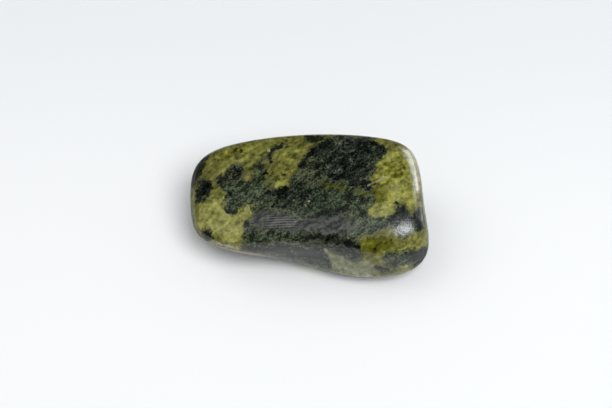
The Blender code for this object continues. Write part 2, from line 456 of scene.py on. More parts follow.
FEATHER_MARKS = (
    Patch("grey wash, left", 0.9, (
        (-8.4, 3.3), (-7.35, 3.75), (-6.3, 3), (-5.7, 2.1), (-5.1, 1.05), (-5.7, 0), (-6.6, -0.6),
        (-7.5, -0.3), (-8.4, 0.45), (-9, -0.3), (-9.9, -0.3), (-10.5, 0.6), (-12, 0.15), (-12.15, 1.05),
        (-11.1, 1.65), (-10.5, 2.25), (-9.3, 2.7),
    )),
    Patch("grey wash, middle", 0.6, (
        (0.6, 2.1), (2.1, 2.55), (4.5, 2.25), (5.4, 1.2), (5.1, -0.3), (3.6, -1.05), (1.8, -1.2),
        (0.6, -0.3),
    )),
    Patch("grey wash, right of middle", 0.6, (
        (5.85, 1.2), (7.5, 1.8), (9.3, 1.8), (10.5, 0.9), (10.2, -0.3), (8.7, -0.6), (7.5, -1.5),
        (6.15, -0.9),
    )),
    Patch("pale green stripe, front right", 1, (
        (6.9, -2.55), (8.25, -1.95), (9.75, -2.1), (10.95, -1.95), (12, -2.4), (12.45, -3), (11.85, -3.75),
        (10.65, -4.2), (9.15, -4.5), (7.8, -4.35), (7.05, -3.75),
    )),
    Patch("grey band, lower right", 0.75, (
        (11.7, -7.8), (12.15, -7.2), (13.35, -7.05), (14.4, -6.75), (15.3, -6.6), (16.35, -6.9),
        (17.25, -6.75), (17.85, -6.45), (18.3, -7.05), (18.15, -7.95), (17.7, -8.55), (16.8, -9),
        (15, -9.15), (13.8, -9.3), (12.9, -8.7), (12, -8.55),
    )),
    Patch("grey toe, lower right", 0.75, (
        (10.05, -9.6), (10.8, -9.15), (12.15, -9.45), (12.9, -10.2), (12, -10.65), (10.8, -10.5),
    )),
    Patch("grey wash, far right", 0.5, ((14.55, 4.2), (15.3, 4.5), (15.6, 3), (15, 2.25), (14.4, 3))),
    Patch("grey wash by the left marks", 0.55, (
        (-8.4, 6.15), (-7.2, 6.45), (-6.6, 5.7), (-5.7, 5.1), (-5.4, 4.2), (-6.6, 3.9), (-7.8, 4.2),
        (-8.4, 5.1),
    )),
    Patch("grey below the glint", 0.6, (
        (12.9, -4.5), (14.4, -4.65), (15.45, -4.8), (15.15, -5.55), (13.5, -5.7),
    )),
    Patch("grey wash over the left blotch", 0.95, (
        (-12, 2.7), (-10.5, 3.15), (-9, 2.85), (-8.4, 1.5), (-9.3, 0), (-10.5, -0.9), (-11.7, -0.6),
        (-12.3, 1.2),
    ), 0.8),
    Patch("feather, upper mass, right", 0.7, (
        (7.5, 8.7), (9.3, 8.55), (9.9, 7.5), (8.4, 7.05), (7.35, 7.65),
    ), 0.8),
    Streak("feather, right of middle", 0.8, 0.45, ((6.15, 1.8), (7.35, 1.5))),
    Streak("feather at the left of the band", 0.8, 0.52, ((-8.1, -2.7), (-7.2, -3.75))),
)

PLUM_MARKS = (
    Patch("plum band", 1, (
        (-7.65, -1.35), (-6.3, -0.9), (-4.5, -1.05), (-2.7, -1.65), (-0.9, -2.1), (0.9, -2.4),
        (2.7, -1.95), (4.5, -1.8), (6, -2.1), (7.05, -2.85), (6.9, -4.05), (6, -4.8), (3.6, -4.5),
        (1.2, -4.35), (-0.9, -4.05), (-2.7, -4.2), (-3.9, -3.75), (-5.4, -3.45), (-7.2, -3.3),
        (-8.1, -2.4),
    )),
    Patch("plum at the top edge", 0.75, (
        (4.8, 9.6), (6.3, 9.9), (8.1, 9.9), (9.9, 9.75), (9.6, 9.15), (7.5, 9), (5.7, 9.15),
    )),
    Patch("plum at the front toe", 0.6, (
        (1.8, -8.1), (2.85, -8.7), (3.45, -9.75), (2.1, -9.6), (0.9, -9),
    )),
    Patch("plum below the band", 0.6, (
        (-0.9, -4.35), (2.1, -4.65), (5.85, -5.55), (7.8, -6.45), (6.9, -7.05), (4.5, -6.3), (1.5, -5.85),
        (-0.6, -5.55),
    )),
    Patch("front foot, grey", 0.6, (
        (-9.45, -6.9), (-6.6, -7.5), (-2.4, -8.25), (1.35, -9.15), (2.7, -9.75), (3.15, -10.65),
        (1.35, -10.5), (-3.15, -9.3), (-6.6, -8.55), (-9.45, -7.8),
    )),
)

FOREST_MARKS = (
    Patch("forest stripe, upper mass", 0.9, (
        (5.25, 8.4), (6.75, 8.4), (8.4, 8.85), (9.75, 8.55), (10.95, 7.95), (10.95, 7.05), (9.45, 6.6),
        (7.8, 6.9), (6, 7.05),
    )),
    Patch("forest, left patch", 0.9, (
        (-15.9, 2.55), (-15, 3), (-14.55, 2.55), (-14.85, 1.8), (-15.75, 1.5),
    )),
    Patch("forest, below the middle", 0.8, (
        (-1.2, -0.3), (0, -0.45), (1.8, -0.45), (1.95, -1.35), (0.6, -1.95), (-0.9, -1.5), (-2.1, -0.9),
    )),
    Patch("forest, front left", 0.5, (
        (-9.45, -4.05), (-8.1, -3.6), (-6.6, -3.9), (-5.4, -4.35), (-5.7, -5.25), (-6.6, -6),
        (-8.1, -6.45), (-9.3, -6.3),
    )),
    Patch("forest by the wedge", 0.8, (
        (13.2, -0.75), (13.8, 0), (14.55, -0.6), (14.7, -1.35), (13.65, -1.5),
    )),
    Patch("forest, front", 0.7, (
        (-6.6, -6.45), (-3.9, -6.45), (-0.9, -6.45), (0.9, -6.75), (0.6, -8.1), (-0.9, -8.4), (-3.3, -7.8),
        (-5.7, -7.35),
    )),
    Patch("forest, middle left", 0.7, (
        (-8.55, 4.2), (-6.9, 4.8), (-5.55, 4.05), (-6.3, 2.7), (-8.1, 2.85),
    )),
    Patch("shade in the middle of the mass", 0.6, (
        (-6.6, 2.1), (-3.9, 2.4), (-0.9, 3), (3.6, 2.7), (6, 1.8), (5.7, -0.3), (3.6, -1.5), (-0.9, -1.5),
        (-4.5, -0.6), (-6.6, 0.3),
    ), 1),
)

DARK_MARKS = (
    Patch("upper mass, left lobe", 0.95, (
        (0.45, 7.8), (1.05, 8.55), (1.95, 9), (3, 9.45), (4.05, 9.6), (4.35, 9), (3.75, 8.1), (2.85, 7.65),
        (1.8, 7.05), (0.75, 6.9), (0, 6), (-0.6, 5.25), (-1.2, 5.55), (-0.6, 6.75),
    )),
    Patch("upper mass", 0.6, (
        (4.05, 9), (4.8, 9.9), (6, 10.2), (8.1, 10.05), (9.9, 9.75), (11.1, 9.15), (12.15, 8.4),
        (11.85, 7.5), (10.95, 6.9), (10.5, 6.15), (10.35, 5.4), (9.6, 4.35), (9, 3.9), (8.1, 3.45),
        (7.5, 2.7), (6.3, 2.85), (5.1, 3.6), (3.6, 3.75), (2.1, 4.05), (0.75, 4.65), (0.6, 5.7),
        (1.5, 6.9), (2.7, 7.8), (3.6, 8.25),
    )),
    Patch("upper mass, right tip", 0.95, (
        (9.75, 9.3), (10.5, 9.45), (12, 8.55), (12, 7.8), (11.4, 7.05), (10.95, 7.35), (11.1, 8.1),
        (10.05, 8.55),
    )),
    Streak("bar in the upper mass", 0.95, 0.36, ((6.9, 5.1), (7.8, 4.95))),
    Streak("knot in the upper mass", 0.95, 0.42, ((5.7, 6.6), (6.45, 6.45))),
    Streak("bar under the upper mass", 0.95, 0.36, ((3.6, 4.35), (5.1, 4.05), (7.05, 3.9))),
    Streak("knot under the upper mass", 1, 0.48, ((6.9, 3.15), (7.8, 3.3))),
    Streak("right side of the mass", 0.85, 0.52, ((8.4, 3.3), (9.45, 3.15), (9, 2.55))),
    Patch("middle mass, left", 0.5, (
        (-3.75, 2.25), (-2.4, 2.85), (-1.5, 2.4), (-1.35, 1.05), (-0.9, -0.3), (-2.1, -1.05), (-3.3, -0.6),
        (-4.5, 0.15), (-5.25, 1.2), (-5.1, 1.95),
    )),
    Patch("middle mass, right", 0.42, (
        (-1.5, 3.15), (-0.45, 4.05), (0.75, 4.65), (1.8, 4.05), (1.5, 3), (1.8, 1.8), (0.9, 0.6),
        (1.5, -0.45), (0, -0.9), (-1.05, -0.3), (-1.35, 1.05),
    )),
    Streak("black run, middle", 0.95, 0.42, ((-5.4, 1.5), (-4.35, 1.8), (-3, 2.25))),
    Patch("right of the plum band", 0.6, (
        (5.55, 2.1), (6.6, 2.55), (7.5, 1.65), (7.2, 0.15), (6.3, -0.15), (5.4, 0.75),
    )),
    Streak("spots by the plum band", 0.85, 0.3, ((7.95, -0.75), (8.25, -0.9))),
    Streak("spot by the plum band", 0.75, 0.45, ((8.55, -1.35), (8.7, -1.8))),
    Streak("black run over the plum band", 1, 0.37, (
        (0.75, -1.95), (2.1, -1.65), (3.3, -1.2), (4.8, -1.05), (5.85, -0.6),
    )),
    Patch("black front band", 0.95, (
        (-0.9, -4.65), (1.2, -4.5), (3.3, -4.8), (5.1, -5.1), (6.9, -5.4), (7.95, -6.15), (8.1, -7.05),
        (6.9, -6.75), (5.1, -6), (3, -5.55), (0.9, -5.4), (-0.75, -5.4),
    )),
    Patch("front left dark", 0.2, (
        (-9.45, -4.2), (-8.1, -4.05), (-6.6, -4.35), (-5.1, -3.75), (-3.9, -3.75), (-4.5, -4.65),
        (-5.7, -5.4), (-7.2, -6), (-9, -6.3),
    )),
    Streak("notch", 0.95, 0.39, ((-9.15, -3.3), (-8.85, -3.15))),
    Streak("front left run", 0.95, 0.27, ((-5.85, -4.35), (-5.1, -4.05), (-4.2, -3.75))),
    Streak("front left spots", 0.8, 0.3, ((-7.2, -5.85), (-7.5, -6.45))),
    Streak("front line, upper", 0.95, 0.18, (
        (-3, -5.7), (-1.2, -5.55), (0.15, -5.85), (1.8, -6.15), (3.9, -6.45), (6, -6.75),
    )),
    Patch("front hollow, right", 0.9, (
        (3.75, -6.6), (5.85, -6.6), (7.35, -6.75), (8.25, -7.5), (7.95, -8.25), (6.9, -8.1), (5.85, -7.5),
        (4.5, -7.2),
    )),
    Streak("slant in the front", 1, 0.3, ((0, -7.05), (1.05, -6.9), (1.8, -7.65), (3.15, -8.4))),
    Patch("front shade", 0.6, (
        (-9.45, -6.45), (-6.6, -6.15), (-3.15, -6), (-0.9, -6.3), (1.5, -6.45), (3, -6.9), (3.3, -8.25),
        (2.1, -8.1), (0.9, -8.7), (-0.9, -8.7), (-3.9, -7.95), (-6.6, -7.5), (-8.7, -7.2),
    )),
    Patch("left blotch", 0.6, (
        (-13.2, 3.15), (-12.75, 4.05), (-11.85, 4.95), (-11.25, 5.7), (-9.9, 5.7), (-9.3, 4.95),
        (-9.3, 4.2), (-9.75, 3.45), (-10.5, 3), (-11.4, 3), (-12.3, 2.4), (-13.05, 2.25),
    )),
    Patch("left blotch, lower", 0.2, (
        (-12.15, 2.1), (-11.1, 2.55), (-9.9, 2.25), (-8.85, 2.1), (-8.1, 1.95), (-7.8, 1.05), (-8.4, 0.45),
        (-9.45, 0), (-10.2, -0.3), (-10.5, -1.2), (-11.25, -1.35), (-12, -0.6), (-12.15, 0.45),
        (-11.7, 1.05),
    )),
    Streak("spot in the lower blotch", 0.85, 0.39, ((-11.7, 1.8), (-11.4, 1.5))),
    Streak("foot of the lower blotch", 0.8, 0.45, ((-11.55, -1.05), (-10.5, -1.05))),
    Patch("left patch", 0.97, (
        (-15.9, 3.3), (-15.3, 3.75), (-14.4, 3.6), (-14.25, 2.7), (-14.25, 1.8), (-14.85, 1.2),
        (-15.75, 0.75), (-16.5, 0.3), (-16.65, 1.05), (-16.2, 1.8), (-16.8, 2.1), (-16.35, 2.7),
    )),
    Patch("upper left rim", 0.98, (
        (-17.4, 3), (-17.1, 4.5), (-16.5, 5.85), (-15.45, 7.05), (-14.85, 7.65), (-14.25, 7.35),
        (-15, 6.3), (-15.75, 5.4), (-16.2, 4.35), (-16.5, 3.3), (-16.95, 2.4),
    )),
    Patch("lower left spot", 0.95, (
        (-15.75, -4.05), (-14.85, -3.9), (-13.95, -4.8), (-14.1, -5.4), (-14.85, -5.7), (-15.45, -5.1),
    )),
    Streak("speck by the lower spot", 0.6, 0.21, ((-13.05, -4.05), (-12.9, -4.05))),
    Streak("streak", 0.95, 0.34, ((-5.55, 7.95), (-4.8, 8.4), (-3.75, 8.55))),
    Streak("streak, faint end", 0.6, 0.27, ((-3.6, 9.15), (-2.7, 9.45))),
    Streak("mark under the streak", 0.7, 0.33, ((-5.55, 7.35), (-5.4, 6.3))),
    Streak("left mark", 0.75, 0.28, ((-7.95, 5.85), (-7.65, 5.7))),
    Streak("middle mark", 0.8, 0.36, ((-7.05, 5.4), (-6.75, 5.55))),
    Streak("ring mark", 0.8, 0.33, ((-6.3, 4.5), (-5.7, 4.5))),
    Streak("ring mark, top", 0.65, 0.24, ((-6, 4.95), (-5.55, 4.8))),
    Streak("lone spot", 0.8, 0.33, ((-3.45, 4.5), (-3.15, 4.5))),
    Streak("small spot", 0.6, 0.21, ((-8.1, 3.6), (-7.95, 3.6))),
    Streak("spot, right", 0.9, 0.28, ((13.65, 0.3), (13.8, 0.15))),
    Patch("wedge", 0.8, (
        (13.65, -0.6), (13.95, 0), (14.7, -0.45), (15.45, -1.05), (16.05, -1.5), (16.35, -2.25),
        (15.9, -3.15), (15, -2.55), (13.95, -2.1), (13.05, -2.4), (12.3, -2.7), (12.6, -1.95),
        (13.2, -1.35),
    )),
    Patch("right patch", 1, (
        (16.5, -1.05), (16.95, -0.3), (17.4, -0.75), (17.7, -1.8), (17.55, -3.15), (17.25, -4.2),
        (16.65, -4.2), (16.2, -3.45), (15.9, -2.55), (16.05, -1.65),
    )),
    Patch("round the glint", 0.8, (
        (12.45, -2.25), (13.8, -1.8), (15.3, -2.25), (15.9, -3.3), (15.75, -4.35), (15, -4.95),
        (14.1, -4.65), (13.2, -3.75), (12.45, -3),
    )),
    Patch("lower right band", 0.4, (
        (11.7, -7.95), (12.3, -7.5), (13.5, -7.5), (14.7, -7.2), (15.9, -7.2), (17.1, -6.9), (18.15, -6.6),
        (18.3, -7.8), (17.7, -8.55), (16.5, -9), (14.7, -8.85), (13.5, -9.15), (12.45, -8.4),
    )),
    Patch("lower right band, end", 0.9, (
        (15.75, -7.2), (17.1, -6.75), (18.3, -6.6), (18.3, -8.1), (17.1, -8.85), (15.9, -8.7),
    )),
    Streak("lower right toe", 0.6, 0.39, ((10.35, -9.6), (11.7, -9.9), (12.45, -9.9))),
    Patch("top edge mark", 1, ((-0.15, 10.5), (2.1, 10.5), (3.3, 10.05), (1.8, 9.3), (0.15, 9.3))),
    Streak("top edge shade", 0.55, 0.24, ((2.1, 9.75), (3.6, 9.45))),
    Streak("streak, lower side", 0.6, 0.27, ((-3.3, 8.25), (-2.55, 8.7))),
    Streak("right of the grey wash", 0.6, 0.39, ((8.4, 1.5), (8.55, 0.6))),
    Streak("under the middle mass", 0.7, 0.33, ((-4.8, -0.15), (-3.3, -0.3))),
    Streak("in the grey wash", 0.7, 0.3, ((0.45, 0.6), (1.2, 0.75))),
    Patch("over the plum band, right", 0.55, (
        (1.5, -1.2), (3.6, -0.45), (5.4, 0.3), (6.75, -0.15), (6.9, -1.5), (6, -2.4), (4.2, -2.25),
        (2.4, -2.25),
    )),
    Streak("right end of the grey wash", 0.6, 0.45, ((5.4, 1.2), (6.3, 0.3))),
    Patch("lower left spot, inner side", 0.97, (
        (-15.45, -4.05), (-14.7, -3.75), (-13.95, -4.05), (-13.72, -4.8), (-14.25, -5.4), (-15, -5.4),
    )),
    Patch("upper left rim, inner side", 1, (
        (-16.95, 3.3), (-16.65, 4.65), (-16.05, 5.85), (-15.15, 7.05), (-14.4, 7.5), (-14.4, 6.9),
        (-15, 6.15), (-15.6, 5.25), (-15.97, 4.2), (-16.5, 3.15),
    ), 0.2),
    Streak("dark patch by the grains", 0.5, 0.48, ((0, 0.15), (0.9, -0.45))),
    Streak("dark at the top edge", 0.45, 0.36, ((4.2, 9.6), (5.85, 9.9))),
)

WISP_MARKS = (
    Streak("feather, upper mass", 0.6, 0.21, ((3.6, 7.8), (4.35, 8.55), (5.55, 9.3))),
    Streak("feather, upper mass, low", 0.6, 0.19, ((6, 7.65), (7.2, 7.95), (7.8, 8.1))),
    Streak("feathers over the middle", 0.6, 0.27, ((0.9, 4.8), (1.8, 4.95), (2.7, 4.5))),
    Streak("feather dab, middle", 0.6, 0.21, ((4.2, 4.95), (5.1, 5.1))),
    Streak("feather dab, upper", 0.6, 0.21, ((2.85, 6), (3.45, 5.4))),
    Streak("feather, right side", 0.6, 0.24, ((6.9, 6.9), (6.6, 5.7))),
    Streak("feather by the moss", 0.6, 0.24, ((8.1, 2.1), (9.6, 3))),
)

# Painted reflection: the pale band along the right rim and the pale foot at the left stand in for the
# polish's reflections of the lamps and the floor. The sage plate's rim is a paler colour at its foot.
RIM_MARKS = (
    Streak("paler rim of the sage plate", 0.5, 0.45, ((6, -9.9), (7.8, -10.5), (9.6, -10.65))),
    Streak("pale rim, right", 0.75, 0.36, (
        (15.3, 8.55), (16.12, 7.35), (16.57, 5.85), (16.72, 3.9), (16.8, 2.4),
    )),
    Streak("pale foot, left", 0.55, 0.3, ((-14.1, -5.7), (-12, -6.3), (-10.2, -6.6))),
)

# A thin brown line drawn along the foot of the stone's front.
BROWN_LINE_MARKS = (
    Streak("brown line at the foot", 0.8, 0.25, (
        (-15.15, -6), (-12.15, -6.82), (-9.15, -7.35), (-6.15, -8.02), (-2.4, -8.85), (1.35, -9.75),
        (5.1, -10.65), (8.85, -11.17), (11.85, -11.02),
    )),
)

PALE_MARKS = (
    Streak("vein", 0.75, 0.12, ((9.3, 2.7), (10.35, 3.3), (11.25, 3.67))),
    Streak("vein, broad end", 0.8, 0.22, ((11.4, 3.75), (12, 4.05))),
    Streak("pale dab, right", 0.55, 0.21, ((12.9, 2.85), (13.2, 2.55))),
    Streak("pale dab, upper right", 0.35, 0.19, ((12.15, 7.35), (12.45, 7.05))),
    # Painted highlight: a tiny glint, drawn as a pale grain.
    Streak("painted glint, upper left", 1, 0.16, ((-5.62, 8.01), (-5.55, 7.95))),
    Streak("grain, middle", 0.95, 0.13, ((-1.8, 0.6), (-1.65, 0.45))),
    Streak("small grain, middle", 0.9, 0.12, ((-0.15, -0.15), (-0.07, -0.22))),
    Streak("small grain, low", 0.8, 0.12, ((0.45, 0.45), (0.52, 0.37))),
    Streak("pale dab by the plum", 0.35, 0.21, ((6.9, 1.95), (7.65, 2.1))),
    Streak("dab in the plum band", 0.3, 0.27, ((1.35, -3.75), (1.5, -4.05))),
    Streak("dab in the plum band, right", 0.3, 0.27, ((3.15, -3.45), (3.6, -3.9))),
    Streak("dab over the plum band", 0.3, 0.19, ((4.05, -2.4), (4.2, -2.85))),
    Streak("slant scratch", 0.6, 0.1, ((-2.85, -3.6), (-1.8, -2.77), (-0.6, -2.1))),
    Streak("sage dab, front", 0.3, 0.33, ((1.05, -8.25), (1.35, -8.7))),
    Streak("grain, front", 0.45, 0.19, ((-2.25, -6.9), (-2.1, -7.05))),
)

SCRATCHED_MARKS = (
    Patch("scratched stretch", 1, (
        (-5.7, -1.8), (-1.5, -2.02), (-1.65, -3.6), (-3.3, -3.67), (-6, -3.22),
    )),
)

WORN_MARKS = (
    Streak("left rim", 1, 0.45, (
        (-15.45, 6.9), (-16.5, 5.7), (-17.1, 4.2), (-17.32, 2.1), (-17.32, -0.9), (-17.02, -3),
        (-16.35, -4.5), (-15.15, -5.7),
    )),
    Streak("lower right rim", 0.9, 0.45, ((18.3, -6.45), (18.15, -7.65), (17.4, -8.7), (16.2, -9.45))),
    Streak("right rim, lower end", 0.9, 0.33, ((16.8, 1.35), (16.87, -0.15), (16.95, -1.65))),
)

MARKS: dict[Layer, tuple[Patch | Streak, ...]] = {
    Layer.BRIGHT: BRIGHT_MARKS,
    Layer.STRAW: STRAW_MARKS,
    Layer.HOST: HOST_MARKS,
    Layer.MOSS: MOSS_MARKS,
    Layer.SAGE: SAGE_MARKS,
    Layer.FEATHER: FEATHER_MARKS,
    Layer.PLUM: PLUM_MARKS,
    Layer.FOREST: FOREST_MARKS,
    Layer.DARK: DARK_MARKS,
    Layer.WISP: WISP_MARKS,
    Layer.RIM_AND_SHEEN: RIM_MARKS,
    Layer.BROWN_LINE: BROWN_LINE_MARKS,
    Layer.PALE: PALE_MARKS,
    Layer.SCRATCHED: SCRATCHED_MARKS,
    Layer.WORN: WORN_MARKS,
}


@dataclass(frozen=True)
class Vein:
    """How one layer runs through the inside of the stone, where no mark is drawn.

    Args:
        layer: what it is.
        per_mm: how many of its clouds there are in a millimetre.
        share: how strong a cloud must be to show.
        amount: how much a cloud covers.
        seed: where its clouds are taken from.
        softness: half the span of strength over which a cloud fades in.
        octaves: how many times finer clouds are added.
        fading: how fast the finer clouds weaken.
        finer: how many times finer each of them is.
    """

    layer: Layer
    per_mm: float
    share: float
    amount: float
    seed: float
    softness: float = 0.12
    octaves: int = 4
    fading: float = 1.0
    finer: float = 2.0

    def cover(self, points: Points) -> Field:
        """Works out the vein at some points of the stone.

        Args:
            points: the points, in millimetres.

        Returns:
            How much of the layer lies at each of them, from 0 to 1.
        """
        shift = Vector((self.seed, -self.seed, 2 * self.seed))
        places = (Vector(point) * self.per_mm + shift for point in points)
        clouds = np.array([noise.fractal(place, self.fading, self.finer, self.octaves) for place in places])
        return self.amount * smooth_step(self.share - self.softness, self.share + self.softness, clouds)


VEINS = (
    Vein(Layer.BRIGHT, 0.16, 0.10, 0.6, 11.0),
    Vein(Layer.STRAW, 0.20, 0.22, 0.6, 23.0),
    Vein(Layer.MOSS, 0.24, 0.22, 0.7, 37.0),
    Vein(Layer.HOST, 0.15, -0.02, 0.9, 83.0),
    Vein(Layer.SAGE, 0.18, 0.42, 0.8, 41.0),
    Vein(Layer.FEATHER, 0.20, 0.12, 0.8, 53.0),
    Vein(Layer.PLUM, 0.20, 0.30, 0.7, 67.0),
    Vein(Layer.FOREST, 0.22, 0.24, 0.7, 79.0),
    Vein(Layer.DARK, 0.15, 0.06, 0.85, 83.0),
    Vein(Layer.WISP, 0.60, 0.34, 0.7, 97.0),
    Vein(Layer.PALE, 0.90, 0.52, 0.7, 101.0),
)


@dataclass(frozen=True)
class Viewpoint:
    """The camera, in the stone's own place.

    Args:
        aim_mm: the point it looks at, in millimetres.
        elevation: how far above level it stands, in degrees.
        distance_mm: how far from the point it stands, in millimetres.
        lens_mm: its focal length.
        sensor_mm: the width of its picture.
        nearest: how near to it things are still drawn, in metres.
    """

    aim_mm: Triple = (-0.405, 0.660, 6.567)
    elevation: float = 55.0
    distance_mm: float = 255.0
    lens_mm: float = 100.0
    sensor_mm: float = 36.0
    nearest: float = 0.01

    def towards(self) -> Vector:
        """Returns the unit vector from the stone to the camera."""
        lift = math.radians(self.elevation)
        return Vector((0.0, -math.cos(lift), math.sin(lift)))

    def place(self) -> bpy.types.Object:
        """Sets the camera up as the scene's own.

        Returns:
            The camera.
        """
        data = bpy.data.cameras.new("camera")
        data.lens = self.lens_mm
        data.sensor_width = self.sensor_mm
        data.clip_start = self.nearest
        camera = bpy.data.objects.new("camera", data)
        bpy.context.scene.collection.objects.link(camera)
        camera.location = (Vector(self.aim_mm) + self.towards() * self.distance_mm) * MM
        camera.rotation_euler = self.towards().to_track_quat("Z", "Y").to_euler()
        bpy.context.scene.camera = camera
        return camera

    def spots(self, points: Points) -> Points:
        """Finds where points lie on the drawing.

        Args:
            points: the points, in millimetres.

        Returns:
            How far right of and above the drawing's middle each of them is, in millimetres.
        """
        towards = np.array(self.towards())
        upwards = np.cross(towards, (1.0, 0.0, 0.0))
        from_aim = points - np.array(self.aim_mm)
        nearness = self.distance_mm / (self.distance_mm - from_aim @ towards)
        return np.stack([from_aim[:, 0], from_aim @ upwards], axis=1) * nearness[:, None]

    def facing(self, normals: Points) -> Field:
        """Returns how squarely each normal faces the camera, from -1 to 1."""
        return normals @ np.array(self.towards())


@dataclass(frozen=True)
class Markings:
    """The stone's layers: drawn marks on the side that is drawn, veins everywhere else.

    Args:
        drawing: the view that the marks are drawn in.
        wander_mm: how far a mark's edge wanders, coarse and fine.
        wander_per_mm: how many turns of each there are in a millimetre.
        seen: the range of facing over which the drawing takes over from the veins.
        foot: the range of facing over which the brown line at the foot ends, as the stone turns under.
        seed: what the wandering is drawn from, so that it is the same in every run.
    """

    drawing: Viewpoint
    wander_mm: tuple[float, float] = (0.32, 0.20)
    wander_per_mm: tuple[float, float] = (0.7, 2.4)
    seen: tuple[float, float] = (-0.12, 0.05)
    foot: tuple[float, float] = (-0.03, 0.02)
    seed: int = 5

    def wandering(self, points: Points) -> Points:
        """Moves points a little, so that no drawn edge stays straight.

        Args:
            points: the points, in millimetres.

        Returns:
            The moved points.
        """
        noise.seed_set(self.seed)
        moved = points.copy()
        for reach, per_mm in zip(self.wander_mm, self.wander_per_mm):
            turns = [noise.noise_vector(Vector(point) * per_mm) for point in points]
            moved += reach * np.array(turns)
        return moved

    def dress(self, mesh: bpy.types.Mesh, points: Points, normals: Points) -> None:
        """Writes one attribute for each layer.

        Args:
            mesh: the stone's mesh.
            points: its points, in millimetres.
            normals: which way each of them faces.
        """
        moved = self.wandering(points)
        wandering_spots = self.drawing.spots(moved)
        still_spots = self.drawing.spots(points)
        facing = self.drawing.facing(normals)
        seen = smooth_step(*self.seen, facing)
        front = seen > 0
        hidden = seen < 1
        cover = {layer: np.zeros(len(points)) for layer in Layer}
        for layer, drawn in cover.items():
            spots = wandering_spots if layer.wanders() else still_spots
            for mark in MARKS[layer]:
                drawn[front] = np.maximum(drawn[front], mark.cover(spots[front]))
        cover[Layer.BROWN_LINE] *= smooth_step(*self.foot, facing)
        for vein in VEINS:
            run = np.zeros(len(points))
            run[hidden] = vein.cover(moved[hidden])
            cover[vein.layer] = cover[vein.layer] * seen + run * (1.0 - seen)
        for layer, amount in cover.items():
            held = mesh.attributes.new(layer.attribute(), "FLOAT", "POINT")
            held.data.foreach_set("value", amount.astype(np.float32))


@dataclass(frozen=True)
class CloudPattern:
    """A pattern of clouds in the rock.

    Args:
        per_mm: how many clouds there are in a millimetre.
        detail: how many times finer clouds are added.
        rough: how strong the finer clouds are.
    """

    per_mm: float
    detail: float
    rough: float


class Texture(Enum):
    """The patterns that break up the layers. Each has three channels that have nothing in common."""

    FIBRE = CloudPattern(1.0, 6.0, 0.62)
    CLOUD = CloudPattern(0.75, 6.0, 0.66)
    CRUMB = CloudPattern(1.6, 5.0, 0.66)
    GRAIN = CloudPattern(3.6, 3.0, 0.6)


@dataclass(frozen=True)
class Blend:
    """Patterns added up into one.

    Args:
        parts: each pattern, its channel and its share.
        low: the sum at which the blend is 0.
        high: the sum at which the blend is 1.
    """

    parts: tuple[tuple[Texture, int, float], ...]
    low: float
    high: float


class Clouding(Enum):
    """How a layer clouds into its lighter colour: all over, in fine light streaks or in broad drifts."""

    EVEN = Blend(((Texture.CLOUD, 0, 0.3), (Texture.CRUMB, 0, 0.35), (Texture.FIBRE, 0, 0.35)), 0.17, 0.83)
    STREAKY = Blend(((Texture.GRAIN, 0, 0.5), (Texture.FIBRE, 1, 0.5)), 0.36, 0.86)
    DRIFTING = Blend(((Texture.CRUMB, 2, 0.45), (Texture.FIBRE, 2, 0.55)), 0.3, 0.9)


